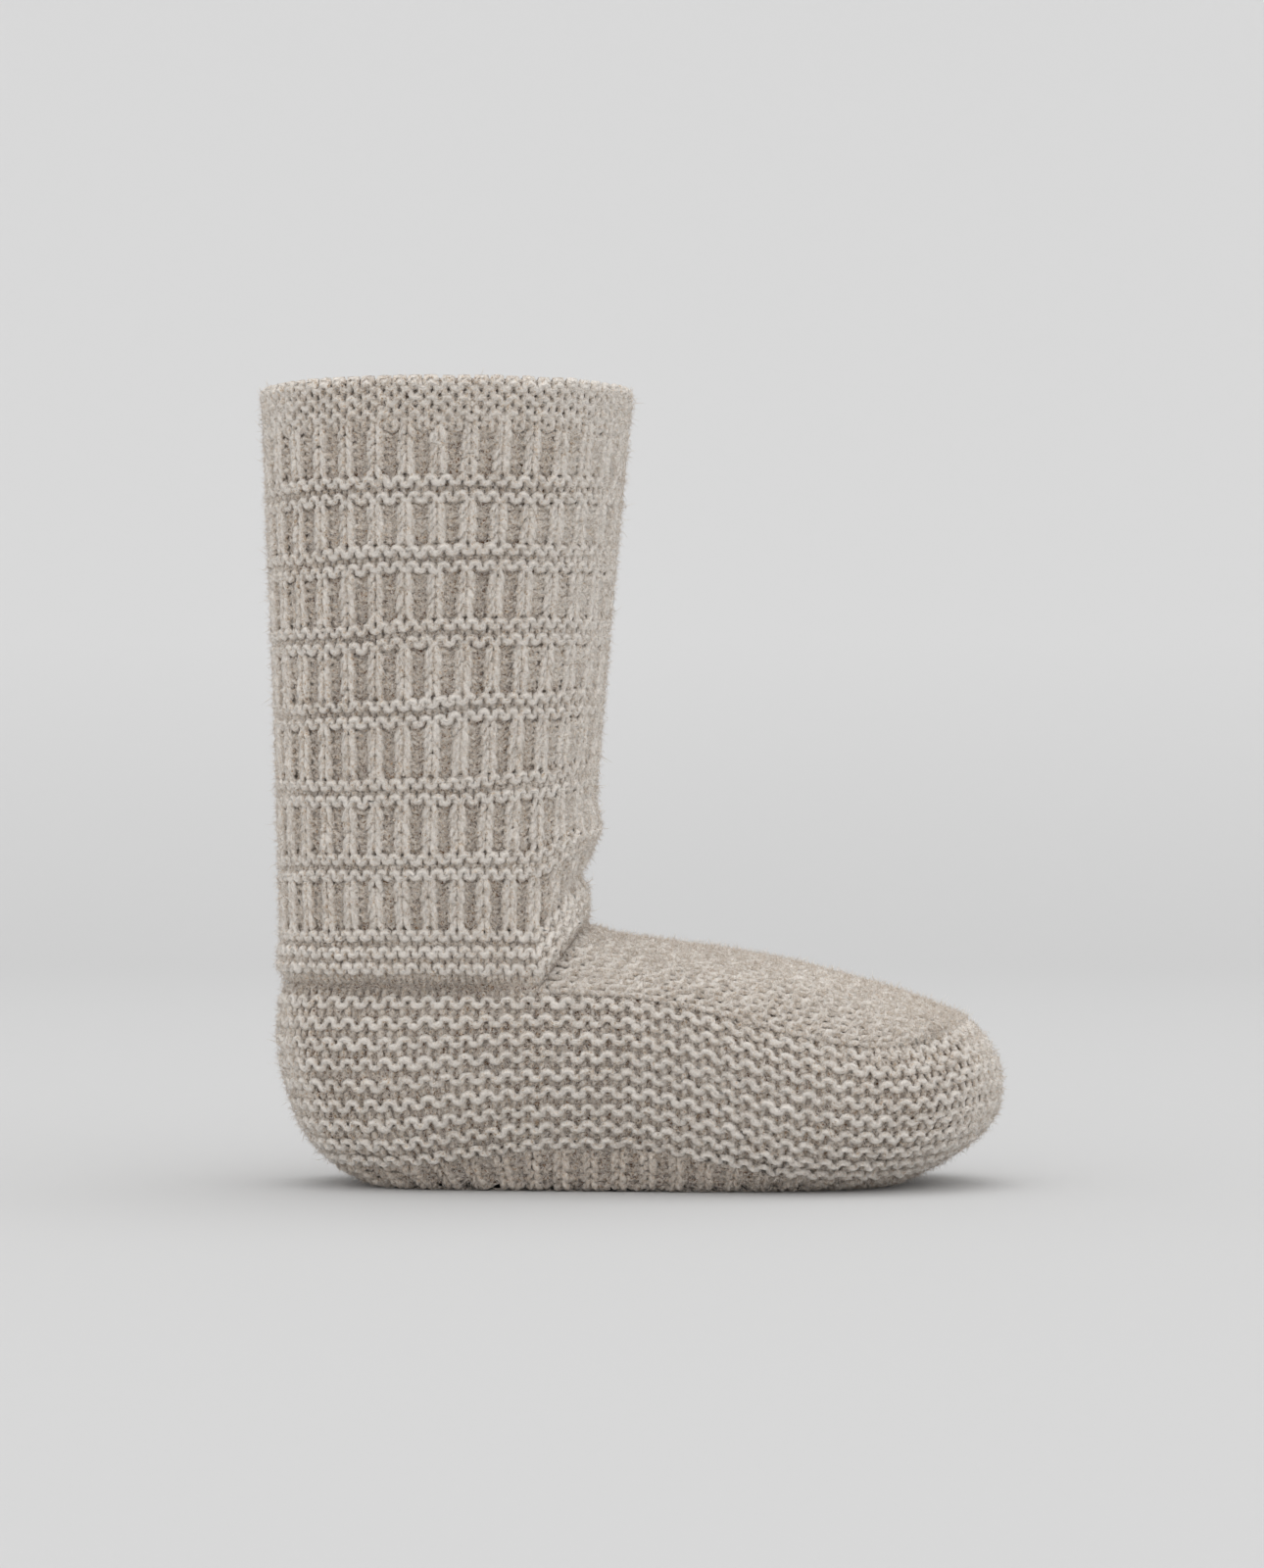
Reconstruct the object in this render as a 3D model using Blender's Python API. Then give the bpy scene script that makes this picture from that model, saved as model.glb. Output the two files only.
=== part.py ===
"""Knit slipper boot: a banded rib shaft, a garter-knitted upper and a rib-knitted sole.

Metres, +X towards the toe, +Z up, the same on both sides of Y = 0. Every skin is worked out on
the half with Y above 0, as a grid of points, and mirrored. The origin is the middle of the
base of the whole slipper's box.
"""

import math

import bmesh
import bpy
import numpy as np

# Driving sizes, in metres, all measured outside the knitting
FOOT_LENGTH = 0.255
BALL_WIDTH = 0.098
ANKLE_HEIGHT = 0.0913  # floor to the bend at the front of the ankle
ANKLE_DEPTH = 0.109  # back to front
ANKLE_WIDTH = 0.082
COLLAR_HEIGHT = 0.2795
COLLAR_DEPTH = 0.1315
COLLAR_WIDTH = 0.105
SHAFT_LEAN = 0.0048  # how far the collar's middle stands ahead of the ankle's
ANKLE_CENTRE = 0.0537  # ankle's middle, from the back of the heel

# Knitting and joins, in metres
KNIT_THICKNESS = 0.004
SOLE_THICKNESS = 0.005
SEAM_GAP = 0.0003
GARTER_RISE = 0.0012  # how proud a garter ridge stands
ANKLE_GROOVE = 0.0018  # how deep the join of shaft and foot is drawn in
GROOVE_REACH = 0.0065  # how far from the join the groove dies away
RIM_CROWN = 0.0008  # rounding of the collar's cast-on edge

# Shape of the shaft
SHAFT_FLARE = 1.2  # power by which the ankle's oval grows to the collar's
FRONT_RISE_POWER = 4  # rows climb to the ankle bend only near the shaft's foot
SEAM_BLEND_START = 0.8  # share down the shaft where its oval begins to follow the join
INSTEP_ARC = math.radians(62)  # half angle of the arc that crosses the instep
TOE_ROUND_POWER = 3  # how late the instep's rows bend to the rounded toe end

# Guide lines of half the foot, from heel to toe. Shares of FOOT_LENGTH, half BALL_WIDTH and
# ANKLE_HEIGHT. Lean is the wall's slope where it leaves the top line, in degrees.
TOP_LINE = (
    # station        along    out     up   lean
    ("heel back",   -0.002, 0.000, 0.767, 90),
    ("heel curve",   0.017, 0.327, 0.767, 88),
    ("heel corner",  0.063, 0.571, 0.767, 86),
    ("heel side",    0.149, 0.714, 0.767, 84),
    ("ankle side",   0.259, 0.765, 0.767, 82),
    ("instep start", 0.361, 0.786, 0.761, 75),
    ("waist",        0.478, 0.827, 0.750, 64),
    ("instep side",  0.588, 0.857, 0.690, 58),
    ("ball",         0.698, 0.867, 0.608, 55),
    ("toe side",     0.804, 0.816, 0.559, 53),
    ("toe corner",   0.875, 0.653, 0.575, 50),
    ("toe curve",    0.930, 0.367, 0.630, 44),
    ("toe tip",      0.949, 0.000, 0.645, 38),
)
WIDEST_LINE = (
    # station        along    out     up
    ("heel back",    0.000, 0.000, 0.450),
    ("heel curve",   0.018, 0.347, 0.438),
    ("heel corner",  0.059, 0.602, 0.416),
    ("heel side",    0.149, 0.765, 0.394),
    ("ankle side",   0.259, 0.806, 0.394),
    ("instep start", 0.361, 0.837, 0.394),
    ("waist",        0.478, 0.898, 0.383),
    ("instep side",  0.588, 0.959, 0.372),
    ("ball",         0.698, 1.000, 0.350),
    ("toe side",     0.804, 0.959, 0.340),
    ("toe corner",   0.902, 0.755, 0.345),
    ("toe curve",    0.973, 0.418, 0.361),
    ("toe tip",      1.000, 0.000, 0.372),
)
SOLE_LINE = (
    # station        along    out     up
    ("heel back",    0.074, 0.000, 0.084),
    ("heel curve",   0.083, 0.255, 0.080),
    ("heel corner",  0.112, 0.459, 0.076),
    ("heel side",    0.184, 0.618, 0.077),
    ("ankle side",   0.275, 0.684, 0.110),
    ("instep start", 0.361, 0.735, 0.142),
    ("waist",        0.478, 0.786, 0.148),
    ("instep side",  0.588, 0.827, 0.104),
    ("ball",         0.690, 0.786, 0.049),
    ("toe side",     0.784, 0.694, 0.038),
    ("toe corner",   0.847, 0.510, 0.044),
    ("toe curve",    0.886, 0.265, 0.058),
    ("toe tip",      0.898, 0.000, 0.066),
)
FLOOR_LINE = (
    # station        along    out     up
    ("heel back",    0.141, 0.000, 0.000),
    ("heel curve",   0.146, 0.184, 0.000),
    ("heel corner",  0.164, 0.327, 0.000),
    ("heel side",    0.212, 0.449, 0.000),
    ("ankle side",   0.290, 0.531, 0.000),
    ("instep start", 0.365, 0.571, 0.000),
    ("waist",        0.478, 0.612, 0.000),
    ("instep side",  0.588, 0.653, 0.000),
    ("ball",         0.682, 0.612, 0.000),
    ("toe side",     0.753, 0.510, 0.000),
    ("toe corner",   0.800, 0.357, 0.000),
    ("toe curve",    0.825, 0.184, 0.000),
    ("toe tip",      0.833, 0.000, 0.000),
)
# Middle of the instep, shares of FOOT_LENGTH and ANKLE_HEIGHT. The toe tip of TOP_LINE ends it.
CREST_LINE = (
    # along     up
    (0.425, 1.000),
    (0.478, 0.960),
    (0.588, 0.918),
    (0.697, 0.866),
    (0.800, 0.792),
    (0.870, 0.733),
)
TOE_STATION = len(TOP_LINE) - 1
INSTEP_STATION = 5  # where the instep panel starts on the top line
INSTEP_END_STATION = 10.4  # where its rounded end starts

# Garter ridges of the shaft, as shares of its length from the collar down. Each place starts a
# band of two ridges, the last of three, and plain rib lies between the bands.
SHAFT_BANDS = (0.166, 0.280, 0.403, 0.527, 0.658, 0.783, 0.911)
BAND_PITCH = 0.034
COLLAR_RIDGES = 3
COLLAR_PITCH = 0.024
RIB_LIFT = 0.35  # how far the rib stands above the valleys, as a share of GARTER_RISE
WALL_RIDGES = 9  # ridges from the top line to the sole

# Soft folds of the shaft at the ankle bend. Around is 0 at the back and 1 at the front, down is
# a share of the shaft, tilt is down per around, and depth is a share of KNIT_THICKNESS.
SHAFT_FOLDS = (
    # around  down  reach around  reach down  tilt  depth
    (0.95, 0.765, 0.22, 0.035, -0.10, 0.45),
    (0.97, 0.845, 0.20, 0.026, -0.12, -0.55),
    (0.30, 0.955, 0.45, 0.022, 0.00, 0.35),
)

# Facets
BACK_FACETS = 18  # heel's middle to the instep's start, half the slipper
INSTEP_ROWS = 16
INSTEP_FACETS = 6  # instep's middle to its side
SHAFT_ROWS_PER_INNER = 7
WALL_ROWS_PER_INNER = 3
SOLE_SIDE_ROWS = 3
FULLNESS = (1.0, 1.45, 1.15, 1.0)  # how far each guide line holds the wall's slope
PROFILE_SAMPLES = 24  # points per stretch when a profile's length is measured
STEP = 1e-3  # how far apart, in stations, two points are taken for a slope
MERGE = 1e-6  # points closer than this are one

# Colours from the photograph, linear
WOOL = (0.45, 0.39, 0.33, 1.0)
SOLE_WOOL = (0.36, 0.30, 0.25, 1.0)


def smooth(value, low, high):
    """0 below low, 1 above high, and an S curve between."""
    share = np.clip((value - low) / (high - low), 0, 1)
    return share * share * (3 - 2 * share)


def unit(vectors):
    return vectors / np.linalg.norm(vectors, axis=-1, keepdims=True)


def through(rows, place):
    """Catmull-Rom curve through rows, at places counted in rows. The rows go on past each end."""
    place = np.clip(np.asarray(place, float), 0, len(rows) - 3)
    first = np.minimum(place.astype(int), len(rows) - 4)
    t = (place - first)[..., None]
    before, start, end, after = (rows[first + k] for k in range(4))
    return 0.5 * (
        2 * start
        + (end - before) * t
        + (2 * before - 5 * start + 4 * end - after) * t**2
        + (3 * start - before - 3 * end + after) * t**3
    )


def guide(table, station):
    """Points of a guide line, in metres, on the half with Y above 0. Past the heel and the toe
    the line goes on mirrored, so stations a little outside are allowed."""
    station = np.asarray(station, float)
    inside = TOE_STATION - np.abs(TOE_STATION - np.abs(station))
    side = np.where((station < 0) | (station > TOE_STATION), -1.0, 1.0)
    rows = np.array([row[1:4] for row in table]) * (FOOT_LENGTH, BALL_WIDTH / 2, ANKLE_HEIGHT)
    mirror = (1, -1, 1)
    points = through(np.vstack([rows[1] * mirror, rows, rows[-2] * mirror]), inside)
    points[..., 1] *= side
    return points


def lean(station):
    angles = np.radians([row[4] for row in TOP_LINE])
    return np.interp(station, range(len(angles)), angles)


def outward(station):
    """Level direction out of the foot, square to the widest line seen from above."""
    along = guide(WIDEST_LINE, station + STEP) - guide(WIDEST_LINE, station - STEP)
    return unit(np.stack([-along[..., 1], along[..., 0], 0 * along[..., 0]], -1))


def hermite(start, end, leave, arrive, t):
    t = t[None, :, None]
    start, end, leave, arrive = (v[:, None] for v in (start, end, leave, arrive))
    return (
        (2 * t**3 - 3 * t**2 + 1) * start
        + (t**3 - 2 * t**2 + t) * leave
        + (3 * t**2 - 2 * t**3) * end
        + (t**3 - t**2) * arrive
    )


def wall(station, share):
    """Points of the foot's side, a row for each station. Share 0 is the top line, 1 the sole
    line and 2 the floor line, counted by length along the profile between them."""
    station = np.asarray(station, float)
    knots = [guide(table, station) for table in (TOP_LINE, WIDEST_LINE, SOLE_LINE, FLOOR_LINE)]
    chords = [np.linalg.norm(b - a, axis=-1, keepdims=True) for a, b in zip(knots, knots[1:])]
    out = outward(station)
    slopes = [np.cos(lean(station))[:, None] * out - np.sin(lean(station))[:, None] * (0, 0, 1)]
    for k in (1, 2):
        before = (knots[k] - knots[k - 1]) / chords[k - 1]
        after = (knots[k + 1] - knots[k]) / chords[k]
        slopes.append((before * chords[k] + after * chords[k - 1]) / (chords[k - 1] + chords[k]))
    slopes.append(-out)
    t = np.linspace(0, 1, PROFILE_SAMPLES)
    slopes = [full * slope for full, slope in zip(FULLNESS, slopes)]
    stretches = [
        hermite(knots[k], knots[k + 1], slopes[k] * chords[k], slopes[k + 1] * chords[k], t)
        for k in range(3)
    ]
    path = np.concatenate([stretches[0], stretches[1][:, 1:], stretches[2][:, 1:]], axis=1)
    steps = np.linalg.norm(np.diff(path, axis=1), axis=-1)
    run = np.concatenate([np.zeros((len(path), 1)), np.cumsum(steps, axis=1)], axis=1)
    sole_index = 2 * (PROFILE_SAMPLES - 1)
    points = np.empty((len(station), len(share), 3))
    for i, (line, length) in enumerate(zip(path, run)):
        upper, total = length[sole_index], length[-1]
        target = np.where(share <= 1, share * upper, upper + (share - 1) * (total - upper))
        for axis in range(3):
            points[i, :, axis] = np.interp(target, length, line[:, axis])
    return points


def even_stations(first, last, count):
    """Stations that split the top line between two others into equal lengths."""
    fine = np.linspace(first, last, 40 * count)
    steps = np.linalg.norm(np.diff(guide(TOP_LINE, fine), axis=0), axis=-1)
    run = np.concatenate([[0], np.cumsum(steps)])
    return np.interp(np.linspace(0, run[-1], count + 1), run, fine)


def crest(share):
    """Middle of the instep at a share of its length, from the ankle bend to the toe end."""
    rows = np.array([(x * FOOT_LENGTH, 0, z * ANKLE_HEIGHT) for x, z in CREST_LINE])
    rows = np.vstack([rows, guide(TOP_LINE, TOE_STATION)])
    rows = np.vstack([2 * rows[0] - rows[1], rows, 2 * rows[-1] - rows[-2]])
    fine = through(rows, np.linspace(0, len(rows) - 3, 400))
    run = np.concatenate([[0], np.cumsum(np.linalg.norm(np.diff(fine, axis=0), axis=-1))])
    return np.stack([np.interp(share * run[-1], run, fine[:, k]) for k in range(3)], -1)


def instep(share, across):
    """Points of the instep panel. Share runs from the ankle bend to the toe end, and across
    from 0 in the middle to 1 at the side. Each row is an arc from side to side, and the last
    rows bend to the toe's round end."""
    side_stations = even_stations(INSTEP_STATION, INSTEP_END_STATION, INSTEP_ROWS)
    station = np.interp(share, np.linspace(0, 1, INSTEP_ROWS + 1), side_stations)

    def arcs(middle, side):
        angle = across[None, :, None] * INSTEP_ARC
        drop = (1 - np.cos(angle)) / (1 - math.cos(INSTEP_ARC))
        points = middle[:, None] + (side - middle)[:, None] * drop
        points[..., 1:2] = side[:, None, 1:2] * np.sin(angle) / math.sin(INSTEP_ARC)
        return points

    points = arcs(crest(share), guide(TOP_LINE, station))
    ends = TOE_STATION - across * (TOE_STATION - INSTEP_END_STATION)
    last = arcs(crest(np.ones(1)), guide(TOP_LINE, np.array([INSTEP_END_STATION])))
    miss = guide(TOP_LINE, ends)[None] - last
    return points + share[:, None, None] ** TOE_ROUND_POWER * miss


def seam_ring(around):
    """Join of shaft and foot. Around is 0 at the heel and 1 at the front of the ankle, and the
    instep panel takes the share of the shaft's facets that start it."""
    corner = BACK_FACETS / (BACK_FACETS + INSTEP_FACETS)
    stations = even_stations(0, INSTEP_STATION, BACK_FACETS)
    station = np.interp(around / corner, np.linspace(0, 1, BACK_FACETS + 1), stations)
    back = guide(TOP_LINE, station)
    front = instep(np.zeros(1), np.clip((1 - around) / (1 - corner), 0, 1))[0]
    return np.where((around <= corner)[:, None], back, front)


def oval(around, height):
    """Plain oval of the shaft, evenly spaced around, at each height."""
    angle = np.linspace(0, math.pi, 400)
    steps = np.hypot(COLLAR_DEPTH * np.sin(angle), COLLAR_WIDTH * np.cos(angle))
    run = np.cumsum(steps) - steps[0]
    angle = np.interp(around * run[-1], run, angle)
    grown = np.clip((height - ANKLE_HEIGHT) / (COLLAR_HEIGHT - ANKLE_HEIGHT), 0, 1)
    depth = ANKLE_DEPTH + (COLLAR_DEPTH - ANKLE_DEPTH) * grown**SHAFT_FLARE
    width = ANKLE_WIDTH + (COLLAR_WIDTH - ANKLE_WIDTH) * grown**SHAFT_FLARE
    x = ANKLE_CENTRE + SHAFT_LEAN * grown - depth / 2 * np.cos(angle)
    return np.stack([x, width / 2 * np.sin(angle), height + 0 * x], -1)


def shaft(around, down):
    """Points of the shaft, a row for each share down from the collar (0) to the join (1)."""
    seam = seam_ring(around)[None]
    join_height = seam[0, 0, 2]
    down = down[:, None]
    level = COLLAR_HEIGHT - RIM_CROWN - down * (COLLAR_HEIGHT - RIM_CROWN - join_height)
    height = level + (seam[..., 2] - join_height) * down**FRONT_RISE_POWER
    points = oval(around[None], height)
    miss = seam - oval(around[None], seam[..., 2])
    return points + smooth(down, SEAM_BLEND_START, 1)[..., None] * miss


def shared_normals(grids):
    """Unit normals at the points of grids that share edges, each taken from all the faces that
    meet there. Rows of a grid run down or forward, and columns so that faces look outwards."""
    points = np.concatenate([grid.reshape(-1, 3) for grid in grids])
    number = np.unique(np.round(points / MERGE), axis=0, return_inverse=True)[1].reshape(-1)
    numbers, start = [], 0
    for grid in grids:
        count = grid.shape[0] * grid.shape[1]
        numbers.append(number[start : start + count].reshape(grid.shape[:2]))
        start += count
    total = np.zeros((number.max() + 1, 3))
    for grid, at in zip(grids, numbers):
        faces = np.cross(grid[1:, 1:] - grid[:-1, :-1], grid[1:, :-1] - grid[:-1, 1:])
        for corner in (at[:-1, :-1], at[1:, :-1], at[:-1, 1:], at[1:, 1:]):
            np.add.at(total, corner, faces)
    total[number[np.abs(points[:, 1]) < MERGE], 1] = 0
    return [unit(total)[at] for at in numbers]


def groove(grid):
    """How far the join of shaft and foot draws the knitting in, which dies away at the front."""
    from_join = np.abs(grid[..., 2] - guide(TOP_LINE, 0)[2])
    front = smooth(grid[..., 0], *(guide(TOP_LINE, k)[0] for k in (4, INSTEP_STATION)))
    return -ANKLE_GROOVE * (1 - smooth(from_join, 0, GROOVE_REACH)) * (1 - front)


def folds(around, down):
    """Soft creases of the shaft, positive outwards."""
    around, down = around[None], down[:, None]
    total = 0
    for place, low, reach_around, reach_down, tilt, depth in SHAFT_FOLDS:
        beside = around - place
        below = down - low - tilt * beside
        shape = np.exp(-((beside / reach_around) ** 2) - (below / reach_down) ** 2)
        total = total + depth * KNIT_THICKNESS * shape
    return total


def shaft_rows():
    """Shares down the shaft, with how far each row stands back from the ridge tops."""
    rib = -GARTER_RISE * (1 - RIB_LIFT)
    rows = [(0, rib)]
    for k in range(COLLAR_RIDGES):
        rows += [((k + 0.5) * COLLAR_PITCH, 0), ((k + 1) * COLLAR_PITCH, -GARTER_RISE)]
    for k, place in enumerate(SHAFT_BANDS):
        rows.append(((rows[-1][0] + place - BAND_PITCH / 2) / 2, rib))
        rows.append((place - BAND_PITCH / 2, -GARTER_RISE))
        for ridge in range(3 if k == len(SHAFT_BANDS) - 1 else 2):
            top = place + ridge * BAND_PITCH
            rows += [(top, 0), (top + BAND_PITCH / 2, -GARTER_RISE)]
    rows[-1] = (1, -GARTER_RISE)
    return np.array(rows).T


def thinned(grid, every):
    """Every so many rows of a grid, always with the first and the last."""
    return np.vstack([grid[:-1:every], grid[-1:]])


def seam_gap(normals, way):
    """Shift that opens a join by SEAM_GAP, square to the cut through the knitting."""
    away = np.array(way) - normals * (normals @ np.array(way))[..., None]
    return SEAM_GAP * unit(away)


def forms():
    """The slipper's outer form as four grids with shared edges, and the places of their rows."""
    around = np.linspace(0, 1, BACK_FACETS + INSTEP_FACETS + 1)
    down, backs = shaft_rows()
    stations = np.concatenate([
        even_stations(0, INSTEP_STATION, BACK_FACETS),
        even_stations(INSTEP_STATION, INSTEP_END_STATION, INSTEP_ROWS)[1:],
        np.linspace(INSTEP_END_STATION, TOE_STATION, INSTEP_FACETS + 1)[1:],
    ])
    side = wall(stations, np.linspace(0, 1, 2 * WALL_RIDGES + 1)).swapaxes(0, 1)
    edge = wall(stations, np.linspace(1, 2, SOLE_SIDE_ROWS + 1)).swapaxes(0, 1)
    panel = instep(np.linspace(0, 1, INSTEP_ROWS + 1), np.linspace(1, 0, INSTEP_FACETS + 1))
    return [shaft(around, down), side, panel, edge], folds(around, down) + backs[:, None]


def shaft_patches(form, normals, lift):
    drawn = groove(form)
    outer = form + normals * (drawn + lift)[..., None]
    inner = form + normals * (drawn - KNIT_THICKNESS)[..., None]
    gap = seam_gap(normals[-1], (0, 0, 1))
    outer[-1] += gap
    inner[-1] += gap
    crown = (outer[:1] + inner[:1]) / 2 + (0, 0, RIM_CROWN)
    rim = np.concatenate([outer[:1], crown, inner[:1]])
    join = np.stack([outer[-1], inner[-1]])
    return [outer, rim, thinned(inner, SHAFT_ROWS_PER_INNER), join], []


def upper_patches(side, side_normals, panel, panel_normals):
    ridges = np.where(np.arange(len(side)) % 2, 0, -GARTER_RISE)[:, None]
    outer = side + side_normals * (groove(side) + ridges)[..., None]
    inner = side + side_normals * (groove(side) - KNIT_THICKNESS)[..., None]
    edges = np.zeros(panel.shape[:2])
    edges[:, 0] = edges[0] = edges[-1] = -GARTER_RISE
    top = panel + panel_normals * (groove(panel) + edges)[..., None]
    under = panel + panel_normals * (groove(panel) - KNIT_THICKNESS)[..., None]
    back = slice(0, BACK_FACETS + 1)
    patches = [
        outer,
        thinned(inner, WALL_ROWS_PER_INNER),
        top,
        under,
        np.stack([outer[0, back], inner[0, back]]),
        np.stack([top[0], under[0]]),
        np.stack([outer[-1], inner[-1]]),
    ]
    return patches, []


def sole_patches(edge, normals):
    gap = seam_gap(normals[0], (0, 0, -1))
    outer = edge.copy()
    outer[0] += gap - normals[0] * GARTER_RISE
    lip = edge[0] + gap - normals[0] * KNIT_THICKNESS
    bed = edge[-1] - unit(edge[0] - edge[-1]) * (1, 1, 0) * SOLE_THICKNESS / 2
    bed[:, 2] = SOLE_THICKNESS
    return [outer, np.stack([outer[0], lip, bed])], [outer[-1], bed]


def mirrored(points):
    return points * (1, -1, 1)


def build(name, patches, polygons, shift, colour):
    """One closed solid from the half-grids and half-polygons of its skin and their mirrors."""
    body = bmesh.new()
    halves = [*patches, *(mirrored(grid) for grid in patches)]
    for grid in halves:
        verts = [[body.verts.new(point + shift) for point in row] for row in grid]
        for upper_row, lower_row in zip(verts, verts[1:]):
            for k in range(len(upper_row) - 1):
                body.faces.new((upper_row[k], upper_row[k + 1], lower_row[k + 1], lower_row[k]))
    for ring in [*polygons, *(mirrored(ring) for ring in polygons)]:
        body.faces.new([body.verts.new(point + shift) for point in ring])
    bmesh.ops.remove_doubles(body, verts=body.verts, dist=MERGE)
    bmesh.ops.recalc_face_normals(body, faces=body.faces)
    mesh = bpy.data.meshes.new(name)
    body.to_mesh(mesh)
    body.free()
    mesh.shade_smooth()
    mesh.set_sharp_from_angle(angle=math.radians(25))
    mesh.materials.append(wool(name, colour))
    obj = bpy.data.objects.new(name, mesh)
    bpy.context.collection.objects.link(obj)


def wool(name, colour):
    material = bpy.data.materials.new(name)
    material.use_nodes = True
    material.diffuse_color = colour
    shader = material.node_tree.nodes["Principled BSDF"]
    shader.inputs["Base Color"].default_value = colour
    shader.inputs["Roughness"].default_value = 0.95
    return material


def main():
    for obj in list(bpy.data.objects):
        bpy.data.objects.remove(obj)
    grids, lift = forms()
    leg, side, panel, edge = grids
    leg_out, side_out, panel_out, edge_out = shared_normals(grids)
    solids = {
        "shaft": (*shaft_patches(leg, leg_out, lift), WOOL),
        "upper": (*upper_patches(side, side_out, panel, panel_out), WOOL),
        "sole": (*sole_patches(edge, edge_out), SOLE_WOOL),
    }
    along = np.concatenate([
        grid[..., 0].ravel() for patches, _, _ in solids.values() for grid in patches
    ])
    shift = np.array((-(along.min() + along.max()) / 2, 0, 0))
    for name, (patches, polygons, colour) in solids.items():
        build(name, patches, polygons, shift, colour)


main()
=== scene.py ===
"""Looks of the knit slipper boot: every course of yarn, the felted body under it, and the fuzz.

Metres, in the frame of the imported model: +X towards the toe, +Z up, Y = 0 down the middle.
"""

import math

import bmesh
import bpy
import numpy as np
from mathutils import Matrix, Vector


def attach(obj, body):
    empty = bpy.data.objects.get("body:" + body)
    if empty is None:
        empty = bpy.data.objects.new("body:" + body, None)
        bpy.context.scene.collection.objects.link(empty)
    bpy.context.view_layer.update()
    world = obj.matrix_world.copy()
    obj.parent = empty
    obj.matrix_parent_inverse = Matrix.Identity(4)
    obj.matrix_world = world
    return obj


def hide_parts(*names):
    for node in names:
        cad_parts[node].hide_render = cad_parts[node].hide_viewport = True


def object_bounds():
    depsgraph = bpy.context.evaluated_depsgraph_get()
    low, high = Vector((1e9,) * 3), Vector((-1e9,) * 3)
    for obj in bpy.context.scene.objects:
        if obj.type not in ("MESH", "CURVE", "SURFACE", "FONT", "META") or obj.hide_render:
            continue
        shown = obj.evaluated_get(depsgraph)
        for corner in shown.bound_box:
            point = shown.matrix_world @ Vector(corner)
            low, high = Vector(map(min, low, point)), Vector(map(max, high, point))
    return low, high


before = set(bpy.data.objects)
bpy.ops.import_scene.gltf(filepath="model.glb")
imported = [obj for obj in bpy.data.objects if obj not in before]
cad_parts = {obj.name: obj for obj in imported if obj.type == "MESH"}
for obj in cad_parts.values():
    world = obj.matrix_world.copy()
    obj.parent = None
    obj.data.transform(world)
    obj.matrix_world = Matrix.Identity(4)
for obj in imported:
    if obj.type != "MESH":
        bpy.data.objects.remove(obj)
CAD_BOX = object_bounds()

# Sizes of the slipper, as the solids have them, apart from the groove round the ankle and the
# creases, which are deeper here so that they show through the yarn
FOOT_LENGTH = 0.255
BALL_WIDTH = 0.098
ANKLE_HEIGHT = 0.0913
ANKLE_DEPTH = 0.109
ANKLE_WIDTH = 0.082
COLLAR_HEIGHT = 0.2795
COLLAR_DEPTH = 0.1315
COLLAR_WIDTH = 0.105
SHAFT_LEAN = 0.0048
ANKLE_CENTRE = 0.0537
KNIT_THICKNESS = 0.004
SOLE_THICKNESS = 0.005
ANKLE_GROOVE = 0.0034
GROOVE_REACH = 0.0060
SHAFT_FLARE = 1.2
FRONT_RISE_POWER = 4
SEAM_BLEND_START = 0.8
INSTEP_ARC = math.radians(62)
TOE_ROUND_POWER = 3

# Yarn and stitches
YARN_RADIUS = 0.00135
LEG_STITCHES = 64
FOOT_STITCHES = 86
INSTEP_STITCHES = 16
SOLE_STITCHES = 92
TREAD_STITCH = 0.0052
TREAD_COURSES = 15
INSTEP_COURSES = 45
LOOP_POINTS = 8  # points along one stitch
YARN_SIDES = 4
KNIT_DEPTH = 0.0006  # how far a knit leg comes forward of its head
RIDGE_DEPTH = 0.0002  # the same along a purl ridge
RIDGE_LIFT = 0.0005  # how far a purl ridge stands out
GARTER_BACK = 0.0016  # how far the hollow between two garter ridges lies back
INSTEP_BACK = 0.0007  # the same on the instep, which is brushed nearly flat
COLLAR_BACK = 0.0008  # how much shallower the collar's hollows are
COLLAR_SOFTER = 0.0004  # how much less the collar's ridges stand out
PURL_BACK = 0.0023  # how far a purl rib lies back
RIB_BACK = 0.0002  # the same for a knit rib
FELT_NEAR = 0.0029  # how far under the surface the matted inside starts
RIDGE_WAVE = 0.0015  # how far a ridge's yarn swings up and down
RIB_SPREAD, RIDGE_SPREAD, HOLLOW_SPREAD = 0.30, 0.09, 0.17  # sideways swing, in stitches
UNEVEN_ACROSS, UNEVEN_DOWN, UNEVEN_OUT = 0.035, 0.14, 0.0002  # in stitches, courses and metres
UNEVEN_YARN = 0.08  # how much the yarn's thickness varies, as a share of it
FIRST_OF_BAND = (0.166, 0.280, 0.403, 0.527, 0.658, 0.783, 0.911)
BAND_STEP = 0.0135  # one garter row, as a share of the shaft
COLLAR_STEP = 0.012
COLLAR_RIDGES = 3
RIB_ROWS = 5
WALL_RIDGES = 9
WALL_LENGTH, INSTEP_LENGTH = 0.070, 0.142  # about how long the two are across their courses
DARK_DEPTH = 0.0032  # where the painted shade of the hollows starts
PALE_RISE = 0.0034  # from there up to the painted light of the tops
PAINTED_FRONT_LIGHT = 0.35  # painted light: how much paler the yarn is where it faces the toe or up, on the instep, toe and front
BRUSHED_FLAT = 0.65  # how much of the stitches' relief the brushing takes there
DROOP = 0.010  # how far the bands hang lower at the back, as a share of the shaft
SHORT_HAIRS = 91000
LONG_HAIRS = 9000
HAIR_RADIUS = 0.0001
SHORT_HAIR = (0.0018, 0.0022)  # shortest, and how much longer the longest is
LONG_HAIR = (0.0030, 0.0040)

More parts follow.
